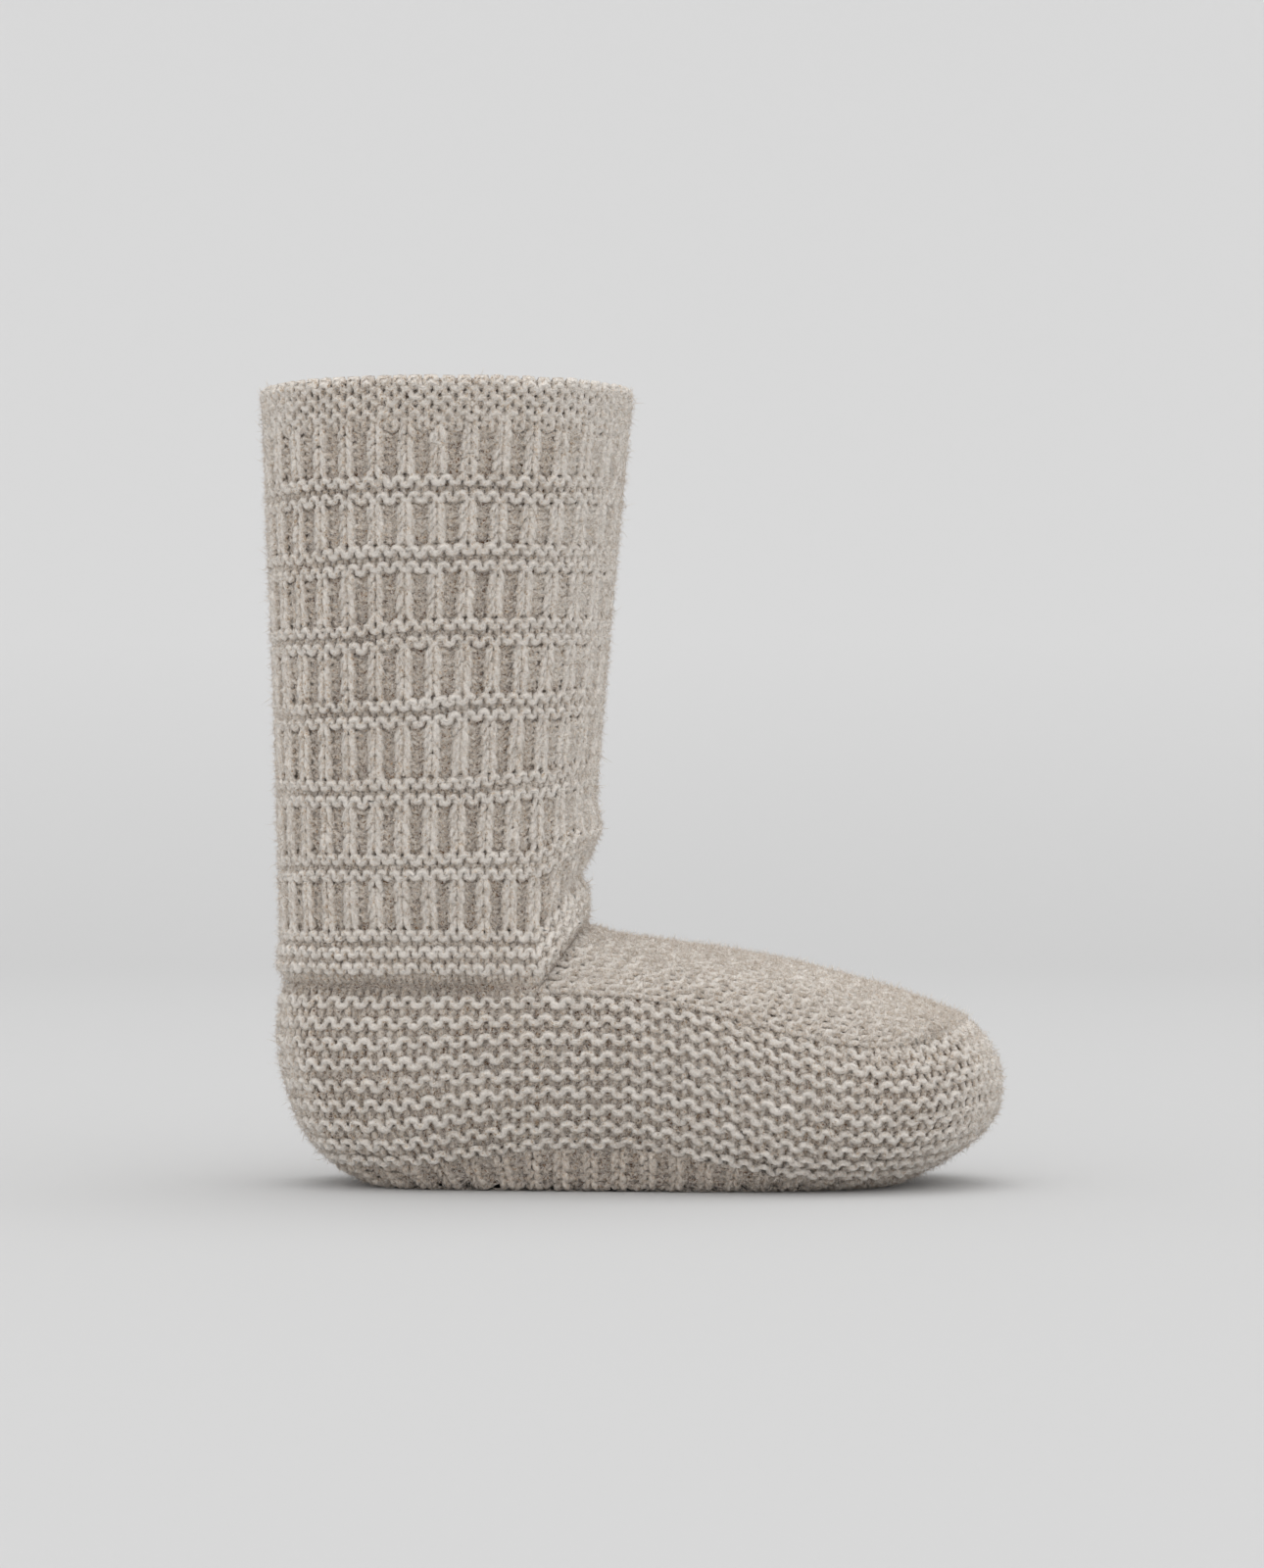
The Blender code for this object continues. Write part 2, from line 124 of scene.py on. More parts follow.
# Camera and backdrop
CAMERA_PLACE = (0.124, -1.4, 0.1411)  # x counts from the heel
LENS = 90.8
SWEEP_START, SWEEP_BEND = 1.6, 1.4  # where the paper starts to rise, and its radius

# Guide lines of half the foot from heel to toe: along, out and up as shares of FOOT_LENGTH, half
# BALL_WIDTH and ANKLE_HEIGHT. The last column of the top line is the wall's lean in degrees.
TOP_LINE = np.array((
    (-0.002, 0.000, 0.767, 90),
    (0.017, 0.327, 0.767, 88),
    (0.063, 0.571, 0.767, 86),
    (0.149, 0.714, 0.767, 84),
    (0.259, 0.765, 0.767, 82),
    (0.361, 0.786, 0.761, 75),
    (0.478, 0.827, 0.750, 64),
    (0.588, 0.857, 0.690, 58),
    (0.698, 0.867, 0.608, 55),
    (0.804, 0.816, 0.559, 53),
    (0.875, 0.653, 0.575, 50),
    (0.930, 0.367, 0.630, 44),
    (0.949, 0.000, 0.645, 38),
))
WIDEST_LINE = np.array((
    (0.000, 0.000, 0.450),
    (0.018, 0.347, 0.438),
    (0.059, 0.602, 0.416),
    (0.149, 0.765, 0.394),
    (0.259, 0.806, 0.394),
    (0.361, 0.837, 0.394),
    (0.478, 0.898, 0.383),
    (0.588, 0.959, 0.372),
    (0.698, 1.000, 0.350),
    (0.804, 0.959, 0.340),
    (0.902, 0.755, 0.345),
    (0.973, 0.418, 0.361),
    (1.000, 0.000, 0.372),
))
SOLE_LINE = np.array((
    (0.074, 0.000, 0.084),
    (0.083, 0.255, 0.080),
    (0.112, 0.459, 0.076),
    (0.184, 0.618, 0.077),
    (0.275, 0.684, 0.110),
    (0.361, 0.735, 0.142),
    (0.478, 0.786, 0.148),
    (0.588, 0.827, 0.104),
    (0.690, 0.786, 0.049),
    (0.784, 0.694, 0.038),
    (0.847, 0.510, 0.044),
    (0.886, 0.265, 0.058),
    (0.898, 0.000, 0.066),
))
FLOOR_LINE = np.array((
    (0.141, 0.000, 0.000),
    (0.146, 0.184, 0.000),
    (0.164, 0.327, 0.000),
    (0.212, 0.449, 0.000),
    (0.290, 0.531, 0.000),
    (0.365, 0.571, 0.000),
    (0.478, 0.612, 0.000),
    (0.588, 0.653, 0.000),
    (0.682, 0.612, 0.000),
    (0.753, 0.510, 0.000),
    (0.800, 0.357, 0.000),
    (0.825, 0.184, 0.000),
    (0.833, 0.000, 0.000),
))
CREST_LINE = np.array((
    (0.425, 1.000),
    (0.478, 0.960),
    (0.588, 0.918),
    (0.697, 0.866),
    (0.800, 0.792),
    (0.870, 0.733),
))
TOE_STATION = 12
INSTEP_STATION = 5
INSTEP_END_STATION = 10.4
BACK_SHARE = 0.75  # share of the join that lies behind the instep
FULLNESS = (1.0, 1.45, 1.15, 1.0)  # of the wall's slopes at the four guide lines
SHAFT_FOLDS = (
    # around  down  reach around  reach down  tilt  depth
    (0.95, 0.770, 0.24, 0.035, -0.10, 0.70),
    (0.99, 0.868, 0.21, 0.026, -0.14, -0.95),
    (0.30, 0.955, 0.45, 0.022, 0.00, 0.45),
)
STEP = 1e-3
MERGE = 1e-6
WALL_POINTS = 24  # points of the wall's profile between two guide lines
HEEL = Vector(CAD_BOX[1]).x - FOOT_LENGTH  # where the guide lines start, in the frame


def smooth(value, low, high):
    """0 below low, 1 above high, and an S curve between: 3 s squared less 2 s cubed."""
    share = np.clip((value - low) / (high - low), 0, 1)
    return share * share * (3 - 2 * share)


def unit(vectors):
    """Each vector over its length."""
    return vectors / np.maximum(np.linalg.norm(vectors, axis=-1, keepdims=True), 1e-12)


def through(rows, place):
    """Catmull-Rom curve through rows, at places counted in rows after the first."""
    place = np.clip(np.asarray(place, float), 0, len(rows) - 3)
    first = np.minimum(place.astype(int), len(rows) - 4)
    t = (place - first)[..., None]
    before, start, end, after = (rows[first + k] for k in range(4))
    return 0.5 * (
        2 * start
        + (end - before) * t
        + (2 * before - 5 * start + 4 * end - after) * t**2
        + (3 * start - before - 3 * end + after) * t**3
    )


def guide(table, station):
    """A guide line's points in metres, mirrored past the heel and the toe."""
    station = np.asarray(station, float)
    inside = TOE_STATION - np.abs(TOE_STATION - np.abs(station))
    side = np.where((station < 0) | (station > TOE_STATION), -1.0, 1.0)
    rows = table[:, :3] * (FOOT_LENGTH, BALL_WIDTH / 2, ANKLE_HEIGHT)
    mirror = (1, -1, 1)
    points = through(np.vstack([rows[1] * mirror, rows, rows[-2] * mirror]), inside)
    points[..., 1] *= side
    return points


def hermite(start, end, leave, arrive, t):
    """Cubic from start to end with the slopes leave and arrive."""
    t = t[None, :, None]
    start, end, leave, arrive = (v[:, None] for v in (start, end, leave, arrive))
    return (
        (2 * t**3 - 3 * t**2 + 1) * start
        + (t**3 - 2 * t**2 + t) * leave
        + (3 * t**2 - 2 * t**3) * end
        + (t**3 - t**2) * arrive
    )


def foot_wall(station, share):
    """The foot's side: a cubic profile through the four guide lines at each station, by length.
    Share 0 is the top line, 1 the sole line and 2 the floor line."""
    knots = [guide(table, station) for table in (TOP_LINE, WIDEST_LINE, SOLE_LINE, FLOOR_LINE)]
    chords = [np.linalg.norm(b - a, axis=-1, keepdims=True) for a, b in zip(knots, knots[1:])]
    along = guide(WIDEST_LINE, station + STEP) - guide(WIDEST_LINE, station - STEP)
    out = unit(np.stack([-along[..., 1], along[..., 0], 0 * along[..., 0]], -1))
    lean = np.radians(np.interp(station, range(len(TOP_LINE)), TOP_LINE[:, 3]))[:, None]
    slopes = [np.cos(lean) * out - np.sin(lean) * (0, 0, 1)]
    for k in (1, 2):
        before = (knots[k] - knots[k - 1]) / chords[k - 1]
        after = (knots[k + 1] - knots[k]) / chords[k]
        slopes.append((before * chords[k] + after * chords[k - 1]) / (chords[k - 1] + chords[k]))
    slopes.append(-out)
    slopes = [full * slope for full, slope in zip(FULLNESS, slopes)]
    t = np.linspace(0, 1, WALL_POINTS)
    parts = [
        hermite(knots[k], knots[k + 1], slopes[k] * chords[k], slopes[k + 1] * chords[k], t)
        for k in range(3)
    ]
    path = np.concatenate([parts[0], parts[1][:, 1:], parts[2][:, 1:]], axis=1)
    steps = np.linalg.norm(np.diff(path, axis=1), axis=-1)
    run = np.concatenate([np.zeros((len(path), 1)), np.cumsum(steps, axis=1)], axis=1)
    points = np.empty((len(station), len(share), 3))
    for i, (line, length) in enumerate(zip(path, run)):
        upper, total = length[2 * (WALL_POINTS - 1)], length[-1]
        target = np.where(share <= 1, share * upper, upper + (share - 1) * (total - upper))
        for axis in range(3):
            points[i, :, axis] = np.interp(target, length, line[:, axis])
    return points


def even_stations(first, last, count):
    """Stations that split the top line between two others into equal lengths."""
    fine = np.linspace(first, last, 1600)
    steps = np.linalg.norm(np.diff(guide(TOP_LINE, fine), axis=0), axis=-1)
    run = np.concatenate([[0], np.cumsum(steps)])
    return np.interp(np.linspace(0, run[-1], count + 1), run, fine)


def crest(share):
    """Middle of the instep, by length, from the ankle bend to the toe end."""
    along, up = CREST_LINE.T
    rows = np.stack([along * FOOT_LENGTH, 0 * along, up * ANKLE_HEIGHT], -1)
    rows = np.vstack([rows, guide(TOP_LINE, TOE_STATION)])
    rows = np.vstack([2 * rows[0] - rows[1], rows, 2 * rows[-1] - rows[-2]])
    fine = through(rows, np.linspace(0, len(rows) - 3, 400))
    run = np.concatenate([[0], np.cumsum(np.linalg.norm(np.diff(fine, axis=0), axis=-1))])
    return np.stack([np.interp(share * run[-1], run, fine[:, k]) for k in range(3)], -1)


def instep(share, across):
    """The instep panel: arcs from side to side, whose last rows bend to the toe's round end."""
    fine = even_stations(INSTEP_STATION, INSTEP_END_STATION, 64)
    station = np.interp(share, np.linspace(0, 1, len(fine)), fine)

    def arcs(middle, side):
        angle = across[None, :, None] * INSTEP_ARC
        drop = (1 - np.cos(angle)) / (1 - math.cos(INSTEP_ARC))
        points = middle[:, None] + (side - middle)[:, None] * drop
        points[..., 1:2] = side[:, None, 1:2] * np.sin(angle) / math.sin(INSTEP_ARC)
        return points

    points = arcs(crest(share), guide(TOP_LINE, station))
    ends = TOE_STATION - across * (TOE_STATION - INSTEP_END_STATION)
    last = arcs(crest(np.ones(1)), guide(TOP_LINE, np.array([INSTEP_END_STATION])))
    return points + share[:, None, None] ** TOE_ROUND_POWER * (guide(TOP_LINE, ends)[None] - last)


def seam_ring(around):
    """Join of shaft and foot on one side: the top line, then the instep's first arc."""
    fine = even_stations(0, INSTEP_STATION, 72)
    station = np.interp(around / BACK_SHARE, np.linspace(0, 1, len(fine)), fine)
    front = instep(np.zeros(1), np.clip((1 - around) / (1 - BACK_SHARE), 0, 1))[0]
    return np.where((around <= BACK_SHARE)[:, None], guide(TOP_LINE, station), front)


def oval(around, height):
    """The shaft's plain oval at a height, evenly spaced around."""
    angle = np.linspace(0, math.pi, 400)
    run = np.cumsum(np.hypot(COLLAR_DEPTH * np.sin(angle), COLLAR_WIDTH * np.cos(angle)))
    angle = np.interp(around * (run[-1] - run[0]), run - run[0], angle)
    grown = np.clip((height - ANKLE_HEIGHT) / (COLLAR_HEIGHT - ANKLE_HEIGHT), 0, 1)
    depth = ANKLE_DEPTH + (COLLAR_DEPTH - ANKLE_DEPTH) * grown**SHAFT_FLARE
    width = ANKLE_WIDTH + (COLLAR_WIDTH - ANKLE_WIDTH) * grown**SHAFT_FLARE
    x = ANKLE_CENTRE + SHAFT_LEAN * grown - depth / 2 * np.cos(angle)
    return np.stack([x, width / 2 * np.sin(angle), height + 0 * x], -1)


def folds(around, down):
    """Soft creases at the ankle bend: bell curves around and down, positive outwards."""
    total = 0
    for place, low, reach_around, reach_down, tilt, depth in SHAFT_FOLDS:
        beside = around - place
        below = down - low - tilt * beside
        away = (beside / reach_around) ** 2 + (below / reach_down) ** 2
        total = total + depth * KNIT_THICKNESS * np.exp(-away)
    return total


def shaft(around, down):
    """The shaft: ovals whose rows climb to the ankle bend and end on the join."""
    seam = seam_ring(around)[None]
    join = seam[0, 0, 2]
    share = down[:, None]
    height = COLLAR_HEIGHT - share * (COLLAR_HEIGHT - join)
    height = height + (seam[..., 2] - join) * share**FRONT_RISE_POWER
    points = oval(around[None], height)
    miss = seam - oval(around[None], seam[..., 2])
    return points + smooth(share, SEAM_BLEND_START, 1)[..., None] * miss


def shared_normals(grids):
    """Unit normals of grids with shared edges, each from all the faces that meet at the point."""
    points = np.concatenate([grid.reshape(-1, 3) for grid in grids])
    number = np.unique(np.round(points / MERGE), axis=0, return_inverse=True)[1].reshape(-1)
    numbers, start = [], 0
    for grid in grids:
        count = grid.shape[0] * grid.shape[1]
        numbers.append(number[start : start + count].reshape(grid.shape[:2]))
        start += count
    total = np.zeros((number.max() + 1, 3))
    for grid, at in zip(grids, numbers):
        faces = np.cross(grid[1:, 1:] - grid[:-1, :-1], grid[1:, :-1] - grid[:-1, 1:])
        for corner in (at[:-1, :-1], at[1:, :-1], at[:-1, 1:], at[1:, 1:]):
            np.add.at(total, corner, faces)
    total[number[np.abs(points[:, 1]) < MERGE], 1] = 0
    return [unit(total)[at] for at in numbers]


def groove(grid):
    """How far the join of shaft and foot is drawn in: deepest on the join, none at the front and
    less than half at the heel."""
    from_join = np.abs(grid[..., 2] - guide(TOP_LINE, 0)[2])
    front = smooth(grid[..., 0], *(guide(TOP_LINE, k)[0] for k in (4, INSTEP_STATION)))
    heel = 0.4 + 0.6 * smooth(grid[..., 0], 0.0, 0.03)
    return -ANKLE_GROOVE * (1 - smooth(from_join, 0, GROOVE_REACH)) * (1 - front) * heel


def both_sides(grid):
    """A half grid and its mirror: columns from the first round to the last and back."""
    return np.concatenate([grid, grid[:, -2::-1] * (1, -1, 1)], axis=1)


class Skin:
    """The form as a fine grid of points and normals, read between its points. Down runs from 0 to
    1 over the rows, and across from 0 to 1 over the columns by length along the middle row."""

    def __init__(self, points, normals):
        self.points = points + (HEEL, 0, 0)
        self.normals = normals
        steps = np.linalg.norm(np.diff(self.points[len(points) // 2], axis=0), axis=-1)
        self.run = np.concatenate([[0], np.cumsum(steps)]) / steps.sum()

    def at(self, across, down):
        """Points and unit normals there, each from the four grid points around it by share."""
        rows, columns = self.points.shape[:2]
        c = np.interp(across, self.run, np.arange(columns))
        r = np.clip(down, 0, 1) * (rows - 1)
        c0 = np.minimum(c.astype(int), columns - 2)
        r0 = np.minimum(r.astype(int), rows - 2)
        fc, fr = (c - c0)[..., None], (r - r0)[..., None]
        found = []
        for grid in (self.points, self.normals):
            top = grid[r0, c0] * (1 - fc) + grid[r0, c0 + 1] * fc
            low = grid[r0 + 1, c0] * (1 - fc) + grid[r0 + 1, c0 + 1] * fc
            found.append(top * (1 - fr) + low * fr)
        return found[0], unit(found[1])


def forms():
    """Fine half grids of the shaft, the foot's wall, the instep and the sole's side."""
    around = np.linspace(0, 1, 97)
    down = np.linspace(0, 1, 161)
    stations = np.concatenate([
        even_stations(0, INSTEP_STATION, 72),
        even_stations(INSTEP_STATION, INSTEP_END_STATION, 64)[1:],
        np.linspace(INSTEP_END_STATION, TOE_STATION, 25)[1:],
    ])
    leg = shaft(around, down)
    wall = foot_wall(stations, np.linspace(0, 1, 37)).swapaxes(0, 1)
    edge = foot_wall(stations, np.linspace(1, 2, 13)).swapaxes(0, 1)
    panel = instep(np.linspace(0, 1, 65), np.linspace(1, 0, 25))
    grids = [leg, wall, panel, edge]
    normals = shared_normals(grids)
    creases = groove(leg) + folds(around[None], down[:, None])
    lifts = [creases, groove(wall), groove(panel), 0 * edge[..., 0]]
    lifted = [grid + n * lift[..., None] for grid, n, lift in zip(grids, normals, lifts)]
    return lifted, normals


def from_hex(code):
    """An sRGB hex colour as linear red, green, blue and 1."""
    values = [int(code[i : i + 2], 16) / 255 for i in (1, 3, 5)]
    linear = [v / 12.92 if v <= 0.04045 else ((v + 0.055) / 1.055) ** 2.4 for v in values]
    return (*linear, 1.0)


def node(tree, kind, settings=None, **links):
    """Adds a node, sets its properties and sockets, and links sockets to other nodes' outputs. A
    socket goes by its name or its number, which a link gives after an underscore."""
    made = tree.nodes.new(kind)
    for key, value in (settings or {}).items():
        if isinstance(key, int) or key in made.inputs:
            made.inputs[key].default_value = value
        else:
            setattr(made, key, value)
    for key, output in links.items():
        socket = int(key[1:]) if key[0] == "_" else key.replace("_", " ")
        tree.links.new(output, made.inputs[socket])
    return made


def wool(name, hollow, middle, top, fuzz):
    """Brushed mohair and wool yarn, hand knitted. Fibres scatter the light, so it has no gloss, a
    pale bloom of sheen along its edges and pale curled fibres. The colour follows the height over
    the hollows plus noises, each about 0.5 on the whole: painted shade, browner deep between the
    loops, and painted light on the tops."""
    material = bpy.data.materials.new(name)
    material.use_nodes = True
    tree = material.node_tree
    shader = tree.nodes["Principled BSDF"]
    place = node(tree, "ShaderNodeTexCoord").outputs["Object"]
    height = node(tree, "ShaderNodeAttribute", {"attribute_name": "height"}).outputs["Fac"]
    strand = node(tree, "ShaderNodeAttribute", {"attribute_name": "strand"}).outputs["Vector"]
    # Clumps of 3 mm, fibres of 0.9 mm, drawn that coarse so that they show, streaks along the yarn
    # with one turn of its twist to 3.5 mm, and patches of 4 cm
    grain, total = {}, height
    for part, scale, detail, at, share in (
        ("clumps", 330.0, 2.0, place, 1.5),
        ("fibres", 1150.0, 1.0, place, 2.6),
        ("streaks", 2.6, 2.0, strand, 1.2),
        ("patches", 24.0, 1.0, place, 0.8),
    ):
        size = {"Scale": scale, "Detail": detail}
        grain[part] = node(tree, "ShaderNodeTexNoise", size, Vector=at).outputs["Fac"]
        add = {"operation": "MULTIPLY_ADD", 1: share}
        total = node(tree, "ShaderNodeMath", add, _0=grain[part], _2=total).outputs[0]
    total = node(tree, "ShaderNodeMath", {"operation": "SUBTRACT", 1: 2.95}, _0=total).outputs[0]
    # Painted shade and light: the ramp runs from a browner hollow colour deep between the loops to a
    # pale top colour
    ramp = node(tree, "ShaderNodeValToRGB", _0=total)
    ramp.color_ramp.elements[0].position = 0.0
    ramp.color_ramp.elements[0].color = from_hex(hollow)
    ramp.color_ramp.elements[1].position = 1.0
    ramp.color_ramp.elements[1].color = from_hex(top)
    ramp.color_ramp.elements.new(0.5).color = from_hex(middle)
    # Curled fibres: thin lines where a smooth noise crosses its middle, at 3, 1.9 and 1.3 mm
    curls = None
    for scale, width in ((330.0, 0.035), (520.0, 0.045), (800.0, 0.05)):
        size = {"Scale": scale, "Detail": 1.0, "Distortion": 0.6}
        wander = node(tree, "ShaderNodeTexNoise", size, Vector=place).outputs["Fac"]
        thin = {"operation": "COMPARE", 1: 0.5, 2: width}
        line = node(tree, "ShaderNodeMath", thin, _0=wander).outputs[0]
        if curls is not None:
            both = {"operation": "MAXIMUM"}
            line = node(tree, "ShaderNodeMath", both, _0=curls, _1=line).outputs[0]
        curls = line
    curls = node(tree, "ShaderNodeMath", {"operation": "MULTIPLY", 1: 0.65}, _0=curls).outputs[0]
    pale = {"data_type": "RGBA", 7: from_hex("#efe8e0")}
    mixed = node(tree, "ShaderNodeMix", pale, _0=curls, _6=ramp.outputs["Color"])
    tree.links.new(mixed.outputs[2], shader.inputs["Base Color"])
    relief = grain["fibres"]
    for value, share in ((grain["streaks"], 0.8), (curls, 0.6)):
        add = {"operation": "MULTIPLY_ADD", 1: share}
        relief = node(tree, "ShaderNodeMath", add, _0=value, _2=relief).outputs[0]
    bump = node(tree, "ShaderNodeBump", {"Strength": 0.8, "Distance": 0.001}, Height=relief)
    tree.links.new(bump.outputs["Normal"], shader.inputs["Normal"])
    shader.inputs["Roughness"].default_value = 1.0
    shader.inputs["Specular IOR Level"].default_value = 0.1
    shader.inputs["Sheen Weight"].default_value = fuzz
    shader.inputs["Sheen Roughness"].default_value = 0.6
    shader.inputs["Sheen Tint"].default_value = from_hex("#f6f2ec")
    return material


def fill(name, piece, material, replaced=None):
    """A smooth mesh object from a piece's arrays: its points, the corners of its faces in a row,
    how many corners each face has, and its attributes, one row a point."""
    points, faces, sizes, values = piece
    mesh = bpy.data.meshes.new(name)
    mesh.vertices.add(len(points))
    mesh.vertices.foreach_set("co", points.astype(np.float32).ravel())
    mesh.loops.add(len(faces))
    mesh.loops.foreach_set("vertex_index", faces.astype(np.int32))
    mesh.polygons.add(len(sizes))
    starts = np.concatenate([[0], np.cumsum(sizes)[:-1]])
    mesh.polygons.foreach_set("loop_start", starts.astype(np.int32))
    mesh.polygons.foreach_set("use_smooth", np.ones(len(sizes), bool))
    mesh.update(calc_edges=True)
    mesh.validate()
    for key, value in values.items():
        kind, field = ("FLOAT", "value") if value.ndim == 1 else ("FLOAT_VECTOR", "vector")
        made = mesh.attributes.new(key, kind, "POINT")
        made.data.foreach_set(field, value.astype(np.float32).ravel())
    mesh.materials.append(material)
    obj = bpy.data.objects.new(name, mesh)
    bpy.context.scene.collection.objects.link(obj)
    if replaced:
        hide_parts(replaced)
    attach(obj, "root")
    return obj


def tubes(path, normals, radius, closed):
    """Yarn carried along paths: a ring of YARN_SIDES points square to each path point, which is
    radius times the cosine and sine of its angle along the up and side directions. Closed paths
    join end to start, and open ones get caps."""
    count, length = path.shape[:2]
    if closed:
        tangent = np.roll(path, -1, axis=1) - np.roll(path, 1, axis=1)
    else:
        tangent = np.gradient(path, axis=1)
    tangent = unit(tangent)
    side = unit(np.cross(normals, tangent))
    up = np.cross(tangent, side)
    angle = np.arange(YARN_SIDES) * 2 * math.pi / YARN_SIDES
    ring = np.cos(angle)[:, None] * up[:, :, None] + np.sin(angle)[:, None] * side[:, :, None]
    points = path[:, :, None] + radius[..., None, None] * ring
    tall = radius[..., None] * (ring * normals[:, :, None]).sum(-1)
    number = np.arange(count * length * YARN_SIDES).reshape(count, length, YARN_SIDES)
    if closed:
        here, there = number, np.roll(number, -1, axis=1)
    else:
        here, there = number[:, :-1], number[:, 1:]
    quads = np.stack([here, there, np.roll(there, -1, axis=2), np.roll(here, -1, axis=2)], -1)
    quads = quads.reshape(-1, 4)
    corners, sizes = [quads.ravel()], [np.full(len(quads), 4)]
    if not closed:
        for cap in (number[:, 0], number[:, -1, ::-1]):
            corners.append(cap.ravel())
            sizes.append(np.full(count, YARN_SIDES))
    return points.reshape(-1, 3), np.concatenate(corners), np.concatenate(sizes), tall, angle


def brushing_and_light(normal):
    """Share of brush-flattened relief and of painted light at a place, from 0 to 1: most where it
    faces the toe or up, some at the heel's back."""
    front = smooth(normal[..., 0], 0.25, 0.90) + smooth(normal[..., 2], 0.30, 0.85)
    return np.minimum(front + 0.5 * smooth(-normal[..., 0], 0.6, 1.0), 1)


def drooped(across, down, droop):
    """Courses that hang lower at the back and wave a little: droop times a cosine around the leg
    and two smaller sines, all times a sine that is 0 at collar and ankle."""
    around = 2 * math.pi * across
    sag = np.cos(around) + 0.25 * np.sin(3 * around + 9 * down)
    sag = sag + 0.15 * np.sin(7 * around + 21 * down)
    return down + droop * sag * np.sin(math.pi * np.clip(down, 0, 1))


def loops(skin, stitches, places, shape, knit, lifts, rng, part=None, droop=0.0):
    """Courses of stitches on a skin, with their shape's rise, spread and forward depth. Along a
    stitch t, the yarn moves on by t plus the spread times sin 4 pi t, down by rise times
    cos 2 pi t, and out by the forward depth times cos 4 pi t: legs in front on a knit stitch,
    head and foot in front on a purl one. Knit holds 1 or 0 for each stitch of each course, the
    lifts say how far out each kind lies, and a knit stitch beside a purl one is the wider. Uneven
    tension shifts each stitch a little. Courses are closed rings. With part, which holds the
    first stitch and how many fill the whole width, they are open rows."""
    rise, spread, forward = (row[:, None] for row in shape)
    lift_knit, lift_purl = (row[:, None] for row in lifts)
    courses, closed = len(places), part is None
    count = stitches * LOOP_POINTS + (0 if closed else 1)
    t = np.arange(count) / LOOP_POINTS
    turn = 2 * math.pi * t[None]

    def uneven(size):
        """A random value at each stitch, blended smoothly between stitches."""
        values = rng.normal(0, size, (courses, stitches + 2))
        if closed:
            values[:, stitches:] = values[:, :2]
        at = np.floor(t).astype(int)
        share = smooth(t - at, 0, 1)
        return values[:, at] * (1 - share) + values[:, at + 1] * share

    flags = np.concatenate([knit, knit[:, :2]], axis=1)
    near = np.floor(t + 0.5).astype(int)
    edge = np.isclose(t % 1, 0.5)
    between = (flags[:, near] + flags[:, np.maximum(near - 1, 0)]) / 2
    front = np.where(edge, between, flags[:, near])
    wider = 0.05 * np.sin(math.pi * t) * (np.ptp(knit, axis=1)[:, None] > 0)
    across = t[None] + spread * np.sin(2 * turn) + wider + uneven(UNEVEN_ACROSS)
    across = (across % stitches) / stitches if closed else (across + part[0]) / part[1]
    down = places[:, None] + rise * (np.cos(turn) + uneven(UNEVEN_DOWN))
    if droop:
        down = drooped(across, down, droop)
    depth = forward * np.cos(2 * turn)
    out = front * (lift_knit - depth) + (1 - front) * (lift_purl + depth) + uneven(UNEVEN_OUT)
    point, normal = skin.at(across, down)
    # A share that flattens the relief and paints light on the yarn where it faces the toe or up
    brushed_and_lit = brushing_and_light(normal)
    out = -YARN_RADIUS + (out + YARN_RADIUS) * (1 - BRUSHED_FLAT * brushed_and_lit)
    path = point + normal * out[..., None]
    thick = UNEVEN_YARN * np.clip(uneven(1.0), -2, 2) + rng.normal(0, UNEVEN_YARN, path.shape[:2])
    points, corners, sizes, tall, angle = tubes(path, normal, YARN_RADIUS * (1 + thick), closed)
    # Painted shade and light: yarn lying deep and the inner side of each tube are darker, the outer
    # side paler, and places facing the toe or up paler still
    height = (out[..., None] + tall + DARK_DEPTH) / PALE_RISE + PAINTED_FRONT_LIGHT * brushed_and_lit[..., None]
    # Millimetres along the yarn over its twist of 3.5 mm, moved on so that courses differ
    steps = np.linalg.norm(np.diff(path, axis=1, append=path[:, -1:]), axis=-1)
    run = np.cumsum(steps, axis=1)[..., None] * 1000 / 3.5 + 170 * places[:, None, None]
    strand = np.stack(np.broadcast_arrays(run, np.cos(angle), np.sin(angle)), -1)
    return points, corners, sizes, {"height": height.ravel(), "strand": strand.reshape(-1, 3)}


def joined(parts):
    """Several sets of points, corners, sizes and values as one."""
    starts = np.cumsum([0] + [len(part[0]) for part in parts[:-1]])
    return (
        np.concatenate([part[0] for part in parts]),
        np.concatenate([part[1] + start for part, start in zip(parts, starts)]),
        np.concatenate([part[2] for part in parts]),
        {key: np.concatenate([part[3][key] for part in parts]) for key in parts[0][3]},
    )


def leg_courses():
    """Rows of the shaft from the collar down: share down, then P for a purl ridge, K for the
    hollow between two ridges and R for a row of rib."""
    rows = [(0.003, "K")]
    for k in range(COLLAR_RIDGES):
        rows += [(COLLAR_STEP * (2 * k + 1), "P"), (COLLAR_STEP * (2 * k + 2), "K")]
    for place in FIRST_OF_BAND:
        ankle = place == FIRST_OF_BAND[-1]
        last = rows[-1][0]
        step = (place - last) / (RIB_ROWS + 1)
        rows += [(last + step * (k + 1), "R") for k in range(RIB_ROWS)]
        for ridge in range(3 if ankle else 2):
            top = place + 2 * ridge * BAND_STEP
            rows += [(top, "P")]
            if ridge == 0 or ankle:
                rows += [(min(top + BAND_STEP, 0.995), "K")]
    return rows


